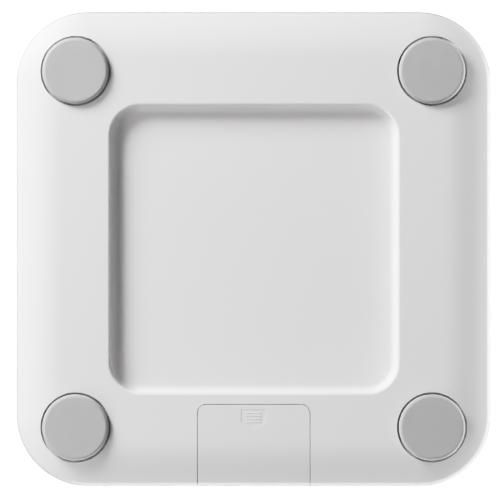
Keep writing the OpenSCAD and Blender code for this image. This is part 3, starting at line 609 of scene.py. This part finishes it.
def rounded_slab(half: np.ndarray, radius: float, profile: np.ndarray, steps: int) -> Surface:
    """A rounded square carried up a profile.

    Each ring is the rounded square moved in by the profile's first value and raised to its second: the four
    corner centres plus the radius, less the inset, times the cosine and sine of the angle.

    Args:
        half: Half the width and half the depth.
        radius: The corners' radius at no inset.
        profile: Rows of inset and height, bottom to top.
        steps: Steps round each corner.

    Returns:
        The closed surface, with one flat face at each end.
    """
    turn = np.radians(np.concatenate([np.linspace(90 * k, 90 * k + 90, steps + 1) for k in range(4)]))
    corner = np.repeat(np.array([[1, 1], [-1, 1], [-1, -1], [1, -1]]) * (half - radius), steps + 1, axis=0)
    spoke = np.column_stack([np.cos(turn), np.sin(turn)])
    plan = corner[None] + (radius - profile[:, 0, None, None]) * spoke[None]
    height = np.broadcast_to(profile[:, 1, None, None], plan.shape[:2] + (1,))
    points = np.concatenate([plan, height], axis=2)
    rows, columns = points.shape[:2]
    faces = ring_faces(rows, columns)
    faces += [list(range(columns)), list(range((rows - 1) * columns, rows * columns))]
    return Surface(points.reshape(-1, 3), faces).outward()


def tube(path: np.ndarray, radius: float, sides: int) -> Surface:
    """A round wire along a path.

    Each ring is the path's point plus the radius times a turning mix of two directions square to the
    path: the one nearest to X, and the cross product of the two. Both ends are closed.

    Args:
        path: Points of the centreline.
        radius: The wire's radius.
        sides: Points round the wire.

    Returns:
        The closed surface.
    """
    tangent = np.gradient(path, axis=0)
    tangent /= np.linalg.norm(tangent, axis=1, keepdims=True)
    first = np.array([1.0, 0.0, 0.0]) - tangent * tangent[:, :1]
    first /= np.linalg.norm(first, axis=1, keepdims=True)
    second = np.cross(tangent, first)
    turn = np.linspace(0.0, 2.0 * np.pi, sides, endpoint=False)
    points = (path[:, None] + radius * (np.cos(turn)[None, :, None] * first[:, None]
                                        + np.sin(turn)[None, :, None] * second[:, None]))
    faces = ring_faces(len(path), sides)
    faces += [list(range(sides)), list(range((len(path) - 1) * sides, len(path) * sides))]
    return Surface(points.reshape(-1, 3), faces).outward()


# ---------------- pieces

def placed(piece: Object, body: str, node: str) -> Object:
    """Gives a new piece its place in the part.

    Args:
        piece: The new piece.
        body: The body that it rides on.
        node: The CAD node that it stands for.

    Returns:
        The piece.
    """
    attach(piece, body)
    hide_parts(node)
    LOG.info("%s: %d faces, on body %s, for %s", piece.name, len(piece.data.polygons), body, node)
    return piece


def kept(finish: Finish, *nodes: str) -> None:
    """Gives CAD nodes that stay as they are their finish.

    Args:
        finish: The finish of them all.
        *nodes: The nodes' names.
    """
    for node in nodes:
        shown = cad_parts[node]
        shown.data.materials.clear()
        shown.data.materials.append(finish.material())
        LOG.info("%s: CAD shape, finish %s", node, finish.name)


def box_of(node: str) -> tuple[np.ndarray, np.ndarray]:
    """Lowest and highest corner of a CAD node."""
    low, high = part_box(node)
    return np.array(low), np.array(high)


class Rim(Enum):
    """Which sharp outer edges of a moulding get a small radius."""

    OPENINGS = "the foot holes and the door opening"
    ALL_OUTSIDE = "every outward edge of the outer face"


@dataclass
class Moulding:
    """A moulded part whose CAD shape is right, merged into one skin and given its tool's small edge radii.

    An edge bent more than sharpest_deg can get the radius edge_round, in as many steps as round_steps, if it
    looks down by at least down_outside or down_opening and lies within slack of a rim. Points nearer than
    merge_within become one, and faces flat to flat_within_deg become one face.
    """

    name: str
    node: str
    body: str
    slot: str
    finish: Finish
    rim: Rim
    edge_round: float
    sharpest_deg: float = 40.0
    round_steps: int = 3
    down_outside: float = 0.05
    down_opening: float = 0.3
    slack: float = 0.1 * MM
    merge_within: float = 0.001 * MM
    flat_within_deg: float = 0.05
    shade_crisp_deg: float = 28.0
    foot_gap: float = 1.15 * MM
    door_seam: float = 0.35 * MM
    door_corner: float = 6.0 * MM

    def rounds(self, middles: np.ndarray, downward: np.ndarray) -> np.ndarray:
        """Tells which edges of the outer face get the small radius.

        Args:
            middles: The edges' middles, one row each.
            downward: How far the lower of each edge's two faces looks down, 1 being straight down.

        Returns:
            True for each edge that is one of the rims.
        """
        if self.rim is Rim.ALL_OUTSIDE:
            return downward > self.down_outside
        foot_low, foot_high = box_of("foot_pad_2")
        centre, radius = (foot_low + foot_high) / 2, (foot_high[0] - foot_low[0]) / 2
        off_foot = np.hypot(np.abs(middles[:, 0]) - centre[0], np.abs(middles[:, 1]) - centre[1])
        at_foot = np.abs(off_foot - radius - self.foot_gap) < self.slack
        door_high = box_of("battery_door")[1]
        half, inner = door_high[0] + self.door_seam, door_high[1] + self.door_seam
        aside, along = np.abs(middles[:, 0]), middles[:, 1]
        at_door = (aside < half + self.slack) & (along < inner + self.slack)
        on_edge = (np.abs(aside - half) < self.slack) | (along > inner - self.door_corner)
        return (downward > self.down_opening) & (at_foot | (at_door & on_edge))

    def build(self) -> Object:
        """Merges a copy of the node's loose triangles and rounds the rims.

        Returns:
            The piece.
        """
        skin = bmesh.new()
        skin.from_mesh(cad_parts[self.node].data)
        bmesh.ops.remove_doubles(skin, verts=skin.verts, dist=self.merge_within)
        bmesh.ops.dissolve_limit(skin, angle_limit=math.radians(self.flat_within_deg), verts=skin.verts,
                                 edges=skin.edges)
        skin.normal_update()
        crisp = [edge for edge in skin.edges if edge.is_manifold
                 and math.degrees(edge.calc_face_angle_signed(0.0)) > self.sharpest_deg]
        middles = np.array([(edge.verts[0].co + edge.verts[1].co) / 2 for edge in crisp])
        downward = np.array([max(-face.normal.z for face in edge.link_faces) for edge in crisp])
        chosen = [edge for edge, wanted in zip(crisp, self.rounds(middles, downward)) if wanted]
        bmesh.ops.bevel(skin, geom=chosen, offset=self.edge_round, segments=self.round_steps, profile=0.5,
                        affect="EDGES", clamp_overlap=True)
        LOG.info("%s: %d edges rounded", self.name, len(chosen))
        surface = surface_of(skin, f"{self.name}_merged")
        piece = surface.piece(self.name, [self.finish], self.shade_crisp_deg)
        return placed(piece, self.body, self.node)


@dataclass
class Platform:
    """The tempered glass, its printed backing, the tape and pads under it, and the display.

    bevel is the ground bevel round both faces, arris the eased width along its edges, and film_gap the gap
    that tells the glass from the enamel on it.
    """

    corner_radius: float = 0.0425
    bevel: float = 1.0 * MM
    arris: float = 0.18 * MM
    film_gap: float = 0.01 * MM
    corner_steps: int = 40
    shade_crisp_deg: float = 20.0

    def glass(self) -> Object:
        """The glass: a rounded square with a ground bevel round both faces, each edge of it slightly eased.

        Its profile starts at the bottom, one arris in from the bevel, turns over the two eased edges in three
        points each, and is mirrored about the glass's mid height.

        Returns:
            The piece.
        """
        low, high = box_of("glass_platform")
        low[2] += self.film_gap
        eased = self.arris * np.array([[1.0, 0.0], [0.3, 0.15], [-0.7, 0.7]])
        inner = eased + [self.bevel, 0.0]
        outer = eased[::-1, ::-1] + [0.0, self.bevel]
        lower = np.vstack([inner, outer]) + [0.0, low[2]]
        upper = np.column_stack([lower[::-1, 0], low[2] + high[2] - lower[::-1, 1]])
        surface = rounded_slab((high - low)[:2] / 2, self.corner_radius, np.vstack([lower, upper]),
                               self.corner_steps)
        plate = surface.piece("glass_plate", [FLOAT_GLASS], self.shade_crisp_deg)
        # Lamps reach the enamel behind the glass only if the glass casts no shadow
        plate.visible_shadow = False
        return placed(plate, "housing", "glass_platform")

    def build(self) -> None:
        """Builds the glass and dresses what is under it."""
        self.glass()
        kept(ENAMEL, "glass_backing")
        kept(TAPE_FOAM, "rim_tape", "bracket_pads", "rib_pads", "display_gasket", "door_pad")
        kept(LCD, "display_module")
        kept(SEGMENT, "display_digits")


@dataclass
class Feet:
    """The four rubber foot pads, each on its plastic cup."""

    edge_round: float = 2.2 * MM
    spigot_radius: float = 14.0 * MM
    spigot_height: float = 0.6 * MM
    skirt_round: float = 0.25 * MM
    edge_steps: int = 14
    skirt_steps: int = 3
    steps: int = 128

    def pad(self, number: int) -> Object:
        """One pad: a flat disc with a quarter-round lower edge, turned about its own axis.

        Args:
            number: The foot's number, 1 to 4.

        Returns:
            The piece.
        """
        low, high = box_of(f"foot_pad_{number}")
        radius = (high[0] - low[0]) / 2
        middle = np.array([(low[0] + high[0]) / 2, (low[1] + high[1]) / 2, 0.0])
        top, shelf = high[2], high[2] - self.spigot_height
        r, s = self.edge_round, self.skirt_round
        profile = np.vstack([
            [[0.0, low[2]], [0.5 * (radius - r), low[2]]],
            arc((radius - r, low[2] + r), r, -90.0, 0.0, self.edge_steps),
            arc((radius - s, shelf - s), s, 0.0, 90.0, self.skirt_steps),
            [[self.spigot_radius, shelf], [self.spigot_radius, top], [0.0, top]],
        ])
        surface = revolved(profile, middle, np.array([0.0, 0.0, 1.0]), self.steps)
        return placed(surface.piece(f"rubber_foot_{number}", [FOOT_TPR]), "housing",
                      f"foot_pad_{number}")

    def build(self) -> None:
        """Builds the four pads and dresses the cups."""
        for number in range(1, 5):
            self.pad(number)
            kept(CUP_ABS, f"foot_cup_{number}")


@dataclass
class BatteryPack:
    """The three cells, their contact plates and their springs.

    nub_side is the side of each cell's nub along X. dish is the depth of the flat end, and dish_foot and
    dish_rim are where its slope starts and ends, as shares of the can's radius. fold is how far the film
    comes in over the ends. seal_edge, seal_middle and seal_foot are how deep the ring round the nub lies at
    its edge, middle and foot, and seal_width how far from the nub it is deepest.
    """

    nub_side: tuple[int, int, int] = (1, -1, 1)
    nub_length: float = 0.9 * MM
    nub_radius: float = 1.9 * MM
    nub_round: float = 0.25 * MM
    dish: float = 0.12 * MM
    dish_foot: float = 0.62
    dish_rim: float = 0.66
    film: float = 0.12 * MM
    film_step: float = 0.02 * MM
    fold: float = 0.7 * MM
    crimp: float = 0.8 * MM
    crimp_steps: int = 5
    seal_edge: float = 0.1 * MM
    seal_middle: float = 0.25 * MM
    seal_foot: float = 0.2 * MM
    seal_width: float = 1.2 * MM
    spring_length: float = 4.1 * MM
    wire_radius: float = 0.25 * MM
    coil_start: float = 3.6 * MM
    coil_taper: float = 1.6 * MM
    turns: int = 4
    turn_steps: int = 28
    wire_sides: int = 10
    wire_crisp_deg: float = 60.0
    steps: int = 72

    def cell(self, number: int) -> Object:
        """One cell, turned about its own axis: crimped can ends, a stepped nub, and a film folded over both.

        Args:
            number: The cell's number, 1 to 3.

        Returns:
            The piece.
        """
        low, high = box_of(f"battery_{number}")
        side = self.nub_side[number - 1]
        radius, length = (high[2] - low[2]) / 2, high[0] - low[0]
        start = np.array([low[0] if side > 0 else high[0], (low[1] + high[1]) / 2, (low[2] + high[2]) / 2])
        can, inner, nub = length - self.nub_length, radius - self.film, self.nub_radius
        bend = self.crimp / 2
        end_round = arc((radius - bend, bend), bend, -90.0, 0.0, self.crimp_steps)
        profile = np.vstack([
            [[0.0, self.dish], [self.dish_foot * inner, self.dish], [self.dish_rim * inner, 0.0],
             [inner - self.crimp, 0.0]],
            end_round + [0.0, self.film_step],
            [[radius, can / 2]],
            np.column_stack([end_round[::-1, 0], can - self.film_step - end_round[::-1, 1]]),
            [[inner - self.crimp, can - self.seal_edge], [nub + self.seal_width, can - self.seal_middle],
             [nub + self.nub_round, can - self.seal_foot], [nub, can],
             [nub, length - self.nub_round], [nub - self.nub_round, length], [0.0, length]],
        ])
        surface = revolved(profile, start, np.array([float(side), 0.0, 0.0]), self.steps)
        along = np.abs(surface.points[:, 0] - start[0]) / length
        made = surface.piece(f"aaa_cell_{number}", [CELL_FILM, CAN])
        shade = made.data.attributes.new("along", "FLOAT", "POINT")
        shade.data.foreach_set("value", along.astype(np.float32))
        centre = np.zeros(len(made.data.polygons) * 3)
        made.data.polygons.foreach_get("center", centre)
        centre = centre.reshape(-1, 3)
        off_axis = np.hypot(centre[:, 1] - start[1], centre[:, 2] - start[2])
        bare = (off_axis < radius - self.fold).astype(np.int32)
        made.data.polygons.foreach_set("material_index", bare)
        return placed(made, "housing", f"battery_{number}")

    def spring_path(self, number: int) -> np.ndarray:
        """Centreline of a tapered coil: its radius falls evenly as it runs from the plate to the cell.

        Args:
            number: The number of the cell that it presses, 1 to 3.

        Returns:
            The points of the centreline.
        """
        low, high = box_of(f"battery_{number}")
        side = -self.nub_side[number - 1]
        flat_end = high[0] if side > 0 else low[0]
        share = np.linspace(0.0, 1.0, self.turns * self.turn_steps + 1)
        coil = self.coil_start - self.coil_taper * share
        turn = 2.0 * np.pi * self.turns * share
        reach = self.spring_length - 2.0 * self.wire_radius
        across = flat_end + side * (self.wire_radius + reach * (1.0 - share))
        return np.column_stack([across, (low[1] + high[1]) / 2 + coil * np.cos(turn),
                                (low[2] + high[2]) / 2 + coil * np.sin(turn)])

    def build(self) -> None:
        """Builds the cells and the springs, and dresses the plates."""
        for number in (1, 2, 3):
            self.cell(number)
        coils = tube(self.spring_path(1), self.wire_radius, self.wire_sides)
        for number in (2, 3):
            coils = coils.joined(tube(self.spring_path(number), self.wire_radius, self.wire_sides))
        placed(coils.piece("contact_coils", [NICKEL], self.wire_crisp_deg), "housing",
               "contact_springs")
        kept(NICKEL, "contact_plates")


@dataclass
class Works:
    """What is shut inside: the load cells and their brackets, the board, the cables and the leads."""

    corners: tuple[int, int, int, int] = (1, 2, 3, 4)

    def build(self) -> None:
        """Dresses every inner node, whose CAD shapes are right."""
        kept(CELL_STEEL, *[f"load_cell_{k}" for k in self.corners])
        kept(NYLON, *[f"cell_bracket_{k}" for k in self.corners], "cable_clips", "board_sockets",
             "cable_plugs")
        kept(CABLE_PVC, *[f"cell_cable_{k}" for k in self.corners])
        kept(SILICONE, "strain_gauges")
        kept(ZINC, "bracket_screws", "board_screws")
        kept(FR4, "main_board")
        kept(EPOXY, "board_chips")
        kept(LEAD_RED, "battery_lead_red")
        kept(LEAD_BLACK, "battery_lead_black")


# ---------------- studio

@dataclass(frozen=True)
class SoftBox:
    """A square studio light.

    It hangs at a direction given by its bearing from +X towards +Y and its tilt from straight below, so a
    tilt under 90 degrees lights the underside and one over 90 lights the platform.
    """

    name: str
    bearing_deg: float
    tilt_deg: float
    watts: float
    width: float = 0.6
    distance: float = 1.6

    def build(self, aim: Vector) -> Object:
        """Hangs the light.

        Args:
            aim: The point that it is turned to.

        Returns:
            The light's object.
        """
        lamp = bpy.data.lights.new(self.name, "AREA")
        lamp.shape = "SQUARE"
        lamp.size = self.width
        lamp.energy = self.watts
        bearing, tilt = math.radians(self.bearing_deg), math.radians(self.tilt_deg)
        place = self.distance * Vector((math.sin(tilt) * math.cos(bearing),
                                        math.sin(tilt) * math.sin(bearing), -math.cos(tilt)))
        made = bpy.data.objects.new(self.name, lamp)
        made.location = place
        made.rotation_mode = "QUATERNION"
        made.rotation_quaternion = (aim - place).to_track_quat("-Z", "Y")
        made.visible_camera = False
        bpy.context.scene.collection.objects.link(made)
        return made


@dataclass(frozen=True)
class ToneCurve:
    """The camera's response: straight up to a knee, then a soft shoulder that never quite reaches white.

    Past the knee k, light x becomes k + (1 - k) (1 - exp(-(x - k) / (1 - k))).
    """

    knee: float = 0.42
    brightest: float = 4.0
    stops: int = 14

    def response(self, light: np.ndarray) -> np.ndarray:
        """The camera's response, as the class's formula says.

        Args:
            light: Scene light values.

        Returns:
            The picture's linear value for each.
        """
        room = 1.0 - self.knee
        return np.where(light < self.knee, light,
                        self.knee + room * (1.0 - np.exp(-np.maximum(light - self.knee, 0.0) / room)))

    def apply(self) -> None:
        """Puts the curve into the scene's view settings."""
        view = bpy.context.scene.view_settings
        view.view_transform = "Standard"
        view.use_curve_mapping = True
        mapping = view.curve_mapping
        mapping.clip_max_x = self.brightest
        curve = mapping.curves[3]
        light = np.concatenate([[0.0, 0.5 * self.knee], np.geomspace(self.knee, self.brightest, self.stops)])
        value = self.response(light)
        curve.points[0].location = (0.0, 0.0)
        curve.points[1].location = (float(light[-1]), float(value[-1]))
        for x, y in zip(light[1:-1], value[1:-1]):
            curve.points.new(float(x), float(y))
        mapping.update()


@dataclass
class Studio:
    """A pale floor, soft light from both sides of it, and a camera square under the scale.

    view_width is the width that the picture takes in, and aside how far the camera stands off the middle.
    backdrop and mirrored are how bright the backdrop is to the camera and in reflections.
    """

    distance: float = 5.0
    view_width: float = 0.29536
    sensor: float = 36.0
    aside: tuple[float, float] = (0.0022, -0.0005)
    backdrop: float = 4.0
    mirrored: float = 0.25
    clip: tuple[float, float] = (0.1, 40.0)
    floor_half: float = 6.0
    floor_glow: float = 0.6
    floor_mottle_mm: float = 400.0
    boxes: tuple[SoftBox, ...] = (
        SoftBox("key_low_from_display_corner", 45.0, 68.0, 43.0),
        SoftBox("side_key", 0.0, 50.0, 4.0),
        SoftBox("side_fill_from_door_corner", 315.0, 68.0, 8.2),
        SoftBox("weak_fill_opposite", 225.0, 50.0, 3.3),
        SoftBox("front_fill", 170.0, 22.0, 2.6, 1.2),
        SoftBox("rim_from_far_side", 180.0, 100.0, 42.0),
        SoftBox("rim_from_door_side", 270.0, 100.0, 18.0),
        SoftBox("platform_key", 235.0, 128.0, 13.0, 0.8),
        SoftBox("platform_fill", 30.0, 120.0, 6.0, 0.9),
    )

    def camera(self, middle: Vector, top: float) -> Object:
        """The camera, straight below and looking up, with the door edge at the bottom of the picture.

        Args:
            middle: The middle of the object.
            top: Height of the widest outline, which view_width is measured at.

        Returns:
            The camera object.
        """
        data = bpy.data.cameras.new("camera")
        data.sensor_width = self.sensor
        data.lens = self.sensor * (self.distance + top) / self.view_width
        data.clip_start, data.clip_end = self.clip
        made = bpy.data.objects.new("camera", data)
        turned = Matrix(((-1, 0, 0), (0, 1, 0), (0, 0, -1))).to_4x4()
        made.matrix_world = Matrix.Translation((middle.x + self.aside[0], middle.y + self.aside[1],
                                                -self.distance)) @ turned
        bpy.context.scene.collection.objects.link(made)
        bpy.context.scene.camera = made
        return made

    def world(self) -> None:
        """A white backdrop: bright to the camera, softer in reflections, and no light of its own."""
        world = bpy.data.worlds.new("white_cyclorama")
        world.use_nodes = True
        tree = world.node_tree
        tree.nodes.clear()
        path = add(tree, "ShaderNodeLightPath")
        white = linear("#FFFFFF")
        mirrored = add(tree, "ShaderNodeBackground", {"Color": white, "Strength": self.mirrored})
        seen = add(tree, "ShaderNodeBackground", {"Color": white, "Strength": self.backdrop})
        shown = add(tree, "ShaderNodeMixShader",
                    {0: path.outputs["Is Glossy Ray"], 2: mirrored.outputs[0]})
        both = add(tree, "ShaderNodeMixShader",
                   {0: path.outputs["Is Camera Ray"], 1: shown.outputs[0], 2: seen.outputs[0]})
        add(tree, "ShaderNodeOutputWorld", {"Surface": both.outputs[0]})
        bpy.context.scene.world = world

    def floor(self) -> None:
        """A plain pale floor that is seen only from above, so that it doesn't hide the underside.

        It is partly lit from within, so that it stays pale far from the lamps, and it lights nothing.
        """
        half = self.floor_half
        mesh = bpy.data.meshes.new("studio_floor")
        mesh.from_pydata([(-half, -half, 0.0), (half, -half, 0.0), (half, half, 0.0), (-half, half, 0.0)],
                         [], [(0, 1, 2, 3)])
        paint = bpy.data.materials.new("matt_white_floor_paint")
        paint.use_nodes = True
        tree = paint.node_tree
        tree.nodes.clear()
        mottle = add(tree, "ShaderNodeTexNoise",
                     {"Vector": add(tree, "ShaderNodeTexCoord").outputs["Object"],
                      "Scale": per_metre(self.floor_mottle_mm)})
        tint = add(tree, "ShaderNodeMix",
                   {0: mottle.outputs[0], MIX_A: linear("#8E8E8E"), MIX_B: linear("#939393")},
                   data_type="RGBA")
        shaded = add(tree, "ShaderNodeBsdfDiffuse", {"Color": tint.outputs[MIX_OUT]})
        glow = add(tree, "ShaderNodeEmission", {"Color": linear("#FFFFFF"), "Strength": self.floor_glow})
        matt = add(tree, "ShaderNodeAddShader", {0: shaded.outputs[0], 1: glow.outputs[0]})
        clear = add(tree, "ShaderNodeBsdfTransparent")
        side = add(tree, "ShaderNodeNewGeometry")
        both = add(tree, "ShaderNodeMixShader",
                   {0: side.outputs["Backfacing"], 1: matt.outputs[0], 2: clear.outputs[0]})
        add(tree, "ShaderNodeOutputMaterial", {"Surface": both.outputs[0]})
        mesh.materials.append(paint)
        made = bpy.data.objects.new("studio_floor", mesh)
        bpy.context.scene.collection.objects.link(made)
        made.visible_diffuse = made.visible_glossy = False
        made.visible_transmission = made.visible_shadow = False
        made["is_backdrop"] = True

    def build(self, low: Vector, high: Vector) -> None:
        """Sets up the backdrop, floor, lights and camera.

        Args:
            low: The object's lowest corner.
            high: Its highest corner.
        """
        middle = (low + high) / 2
        self.world()
        self.floor()
        for box in self.boxes:
            box.build(middle)
        self.camera(middle, high.z)
        ToneCurve().apply()
        LOG.info("studio: %d lights, camera %.2f m below", len(self.boxes), self.distance)


# ---------------- the scale

@dataclass
class BathroomScale:
    """The whole scale, outside first."""

    parts: list[Moulding | Feet | Platform | BatteryPack | Works] = field(default_factory=lambda: [
        Moulding("housing_shell", "bottom_housing", "housing", "housing_abs", HOUSING_ABS, Rim.OPENINGS,
                 0.35 * MM),
        Moulding("sliding_battery_door", "battery_door", "door", "door_abs", DOOR_ABS, Rim.ALL_OUTSIDE,
                 0.15 * MM),
        Feet(), Platform(), BatteryPack(), Works(),
    ])

    def build(self) -> None:
        """Builds every part in order."""
        for part in self.parts:
            LOG.info("building %s", type(part).__name__)
            part.build()


def main() -> None:
    """Builds the scale and the studio."""
    logging.basicConfig(level=logging.INFO, format="%(message)s")
    BathroomScale().build()
    Studio().build(*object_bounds())


if __name__ == "__main__":
    main()
